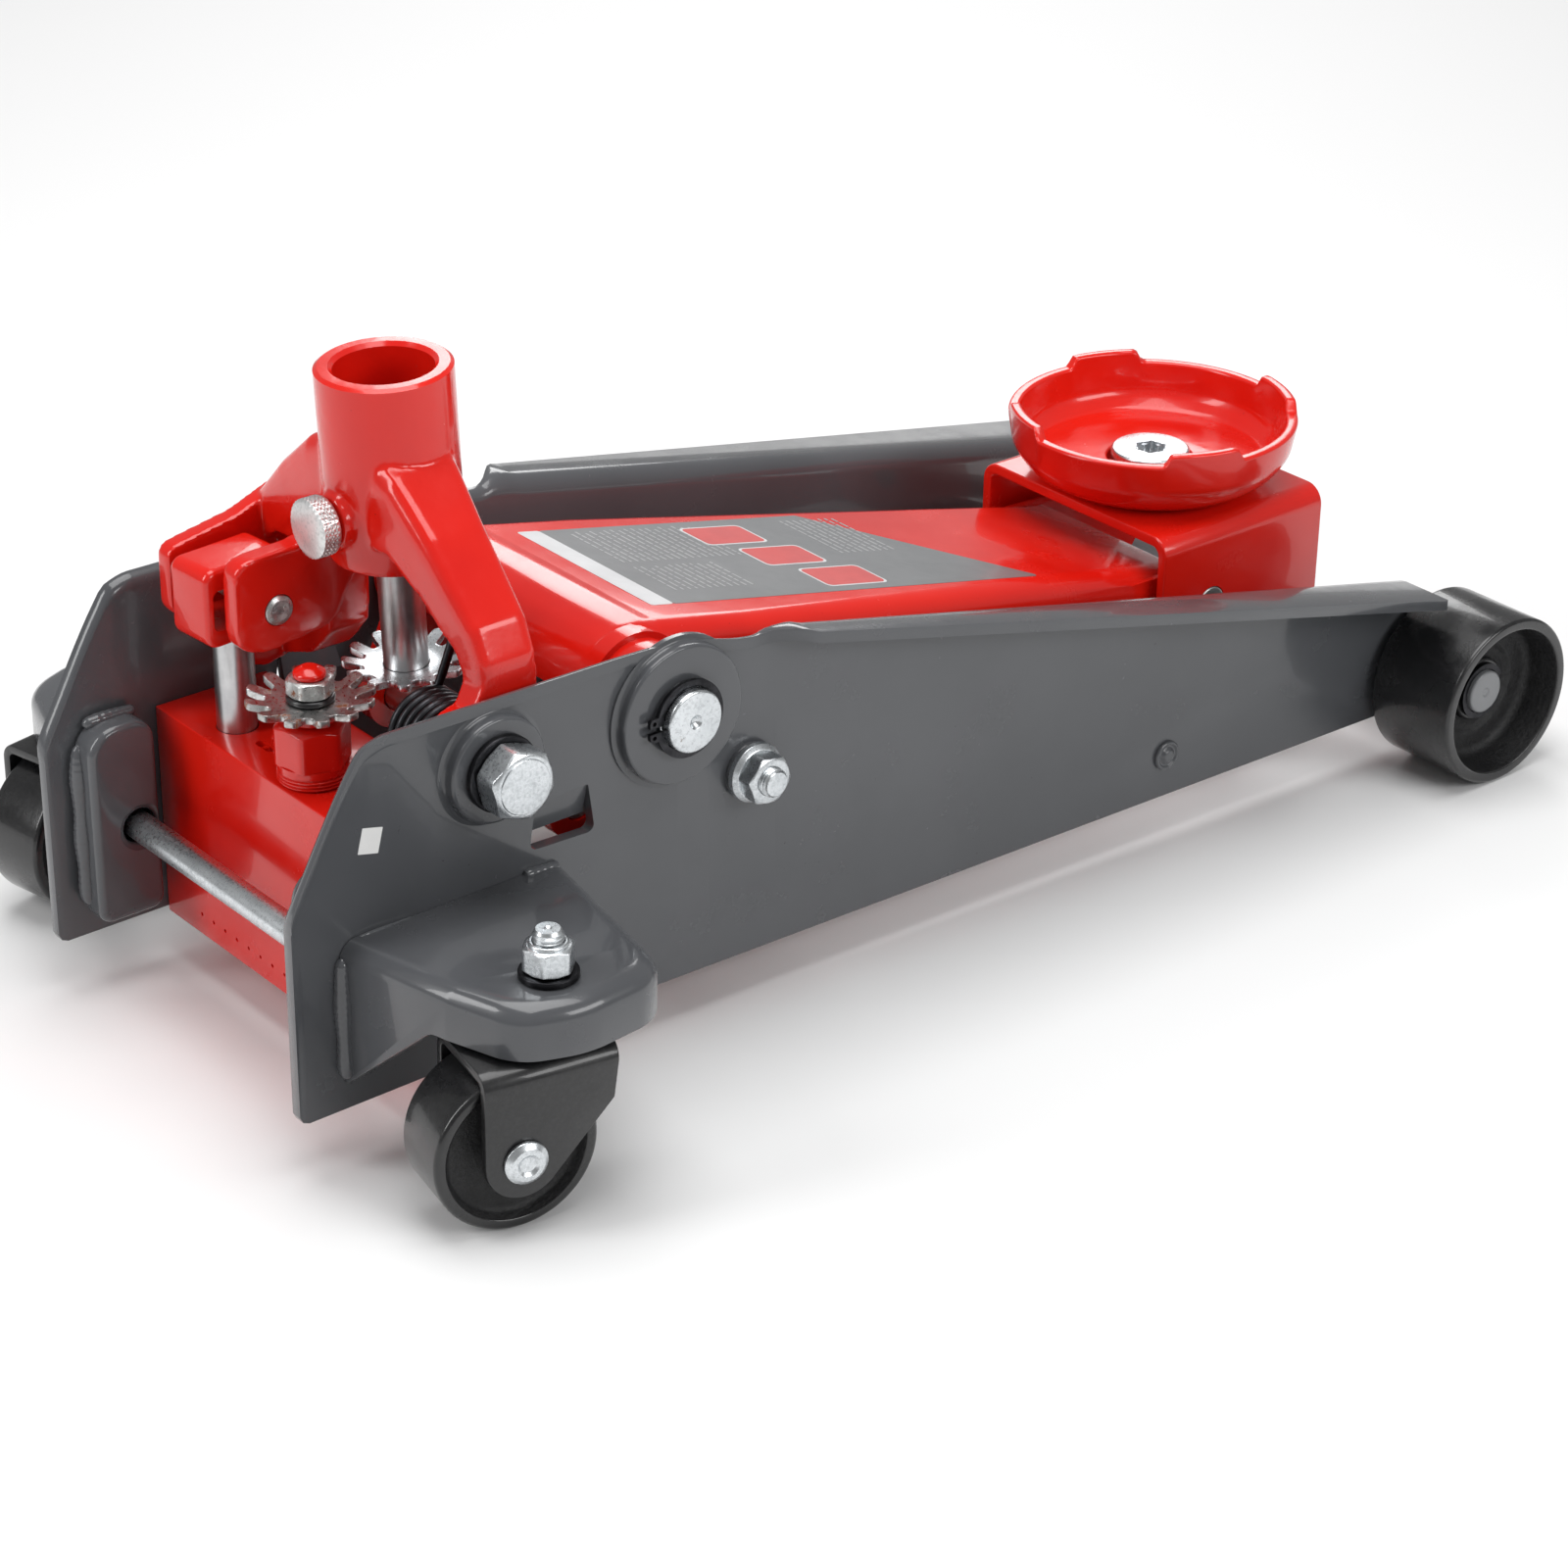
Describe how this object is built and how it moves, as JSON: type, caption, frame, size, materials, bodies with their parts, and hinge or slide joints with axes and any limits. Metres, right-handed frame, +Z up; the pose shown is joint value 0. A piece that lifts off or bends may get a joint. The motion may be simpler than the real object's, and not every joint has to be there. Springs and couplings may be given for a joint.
{
  "type": "trolley jack",
  "caption": "Red and dark grey hydraulic trolley jack on two front wheels and two swivel casters, with a lifting arm, a round cupped saddle and an upright handle socket",
  "frame": {"origin": "on the floor, under the middle of the bounding box", "axes": "X forward to the saddle, Y to the left, Z up"},
  "size_m": [0.6384, 0.3642, 0.2738],
  "materials": {
    "grey_paint": "glossy dark grey paint on pressed steel plate",
    "red_paint": "glossy red paint on cast and pressed steel",
    "black_paint": "glossy black paint on cast iron and steel",
    "black_steel": "blackened spring steel",
    "zinc": "bright zinc plate",
    "polished_steel": "ground and polished steel",
    "machined_steel": "turned steel, lightly oiled",
    "aluminium": "knurled bright metal"
  },
  "bodies": {
    "frame": {"side_plate_left": "grey_paint", "side_plate_right": "grey_paint", "caster_bracket_left": "grey_paint", "caster_bracket_right": "grey_paint", "rear_gusset_left": "grey_paint", "rear_gusset_right": "grey_paint", "rear_tie_rod": "machined_steel", "front_axle": "machined_steel", "axle_clip_left": "black_steel", "axle_clip_right": "black_steel", "arm_pivot_shaft": "zinc", "arm_snap_ring_left": "black_steel", "arm_snap_ring_right": "black_steel", "handle_bolt_left": "zinc", "handle_bolt_right": "zinc", "handle_washer_left": "black_steel", "handle_washer_right": "black_steel", "link_anchor_left": "zinc", "link_anchor_right": "zinc", "link_nut_left": "zinc", "link_nut_right": "zinc", "pump_block": "red_paint", "ram_cylinder": "machined_steel", "filler_plug": "red_paint", "valve_collar": "red_paint", "king_bolt_left": "zinc", "king_bolt_right": "zinc", "caster_nut_left": "zinc", "caster_nut_right": "zinc", "handle_spring": "black_steel"},
    "arm": {"lift_arm": "red_paint", "ram_pin": "machined_steel"},
    "carrier": {"saddle_carrier": "red_paint", "arm_tip_pin": "machined_steel", "link_tip_pin": "machined_steel", "saddle_screw": "zinc"},
    "link_left": {"link_rod_left": "black_paint"},
    "link_right": {"link_rod_right": "black_paint"},
    "ram": {"ram_rod": "polished_steel"},
    "saddle_cup": {"saddle": "red_paint"},
    "socket": {"handle_socket": "red_paint", "plunger_pin": "machined_steel"},
    "clamp": {"clamp_screw": "aluminium"},
    "release": {"release_shaft": "polished_steel", "release_gear": "zinc"},
    "valve": {"valve_spindle": "red_paint", "valve_gear": "zinc", "valve_nut": "zinc"},
    "plunger": {"pump_plunger": "polished_steel", "plunger_head": "red_paint"},
    "front_roll_left": {"front_wheel_left": "black_paint"},
    "front_roll_right": {"front_wheel_right": "black_paint"},
    "caster_left": {"caster_fork_left": "black_paint", "caster_rivet_left": "zinc"},
    "caster_roll_left": {"caster_wheel_left": "black_paint"},
    "caster_right": {"caster_fork_right": "black_paint", "caster_rivet_right": "zinc"},
    "caster_roll_right": {"caster_wheel_right": "black_paint"}
  },
  "joints": [
    {"name": "arm_lift", "type": "hinge", "parent": "frame", "child": "arm", "pos_m": [-0.1412, 0, 0.141], "axis": [0, -1, 0], "range_deg": [0, 68]},
    {"name": "carrier_level", "type": "hinge", "parent": "arm", "child": "carrier", "pos_m": [0.1858, 0, 0.08], "axis": [0, -1, 0], "range_deg": [-68, 0]},
    {"name": "link_swing_left", "type": "hinge", "parent": "frame", "child": "link_left", "pos_m": [-0.1052, 0.0735, 0.1047], "axis": [0, -1, 0], "range_deg": [0, 68]},
    {"name": "link_swing_right", "type": "hinge", "parent": "frame", "child": "link_right", "pos_m": [-0.1052, -0.0735, 0.1047], "axis": [0, -1, 0], "range_deg": [0, 68]},
    {"name": "ram_stroke", "type": "slide", "parent": "frame", "child": "ram", "axis": [1, 0, 0], "range_m": [0, 0.05592]},
    {"name": "saddle_turn", "type": "hinge", "parent": "carrier", "child": "saddle_cup", "pos_m": [0.2028, 0, 0.1183], "axis": [0, 0, 1], "continuous": true},
    {"name": "handle_tilt", "type": "hinge", "parent": "frame", "child": "socket", "pos_m": [-0.2286, 0, 0.145], "axis": [0, -1, 0], "range_deg": [0, 45], "stiffness_Nm_per_rad": 6, "springref_deg": -20.05},
    {"name": "clamp_turn", "type": "hinge", "parent": "socket", "child": "clamp", "pos_m": [-0.2432, 0, 0.2145], "axis": [1, 0, 0], "range_deg": [0, 360]},
    {"name": "release_turn", "type": "hinge", "parent": "socket", "child": "release", "pos_m": [-0.20343, 0, 0.143], "axis": [-0.046, 0, 0.9989], "range_deg": [0, 180]},
    {"name": "valve_turn", "type": "hinge", "parent": "frame", "child": "valve", "pos_m": [-0.2529, -0.0068, 0.1446], "axis": [0, 0, 1], "range_deg": [-180, 0]},
    {"name": "plunger_stroke", "type": "slide", "parent": "frame", "child": "plunger", "axis": [0, 0, -1], "range_m": [0, 0.02141]},
    {"name": "front_wheel_turn_left", "type": "hinge", "parent": "frame", "child": "front_roll_left", "pos_m": [0.2802, 0.13, 0.039], "axis": [0, 1, 0], "continuous": true},
    {"name": "front_wheel_turn_right", "type": "hinge", "parent": "frame", "child": "front_roll_right", "pos_m": [0.2802, -0.13, 0.039], "axis": [0, 1, 0], "continuous": true},
    {"name": "caster_swivel_left", "type": "hinge", "parent": "frame", "child": "caster_left", "pos_m": [-0.2526, 0.1573, 0.071], "axis": [0, 0, 1], "continuous": true},
    {"name": "caster_wheel_turn_left", "type": "hinge", "parent": "caster_left", "child": "caster_roll_left", "pos_m": [-0.27288, 0.15317, 0.0329], "axis": [-0.1994, 0.9799, 0], "continuous": true},
    {"name": "caster_swivel_right", "type": "hinge", "parent": "frame", "child": "caster_right", "pos_m": [-0.2526, -0.1573, 0.071], "axis": [0, 0, 1], "continuous": true},
    {"name": "caster_wheel_turn_right", "type": "hinge", "parent": "caster_right", "child": "caster_roll_right", "pos_m": [-0.27288, -0.15317, 0.0329], "axis": [0.1994, 0.9799, 0], "continuous": true}
  ],
  "couplings": [
    {"joint": "carrier_level", "follows": "arm_lift", "ratio": -1},
    {"joint": "link_swing_left", "follows": "arm_lift", "ratio": 1},
    {"joint": "link_swing_right", "follows": "arm_lift", "ratio": 1},
    {"joint": "ram_stroke", "follows": "arm_lift", "m_per_rad": 0.047117},
    {"joint": "plunger_stroke", "follows": "handle_tilt", "m_per_rad": 0.027262},
    {"joint": "valve_turn", "follows": "release_turn", "ratio": -1}
  ]
}
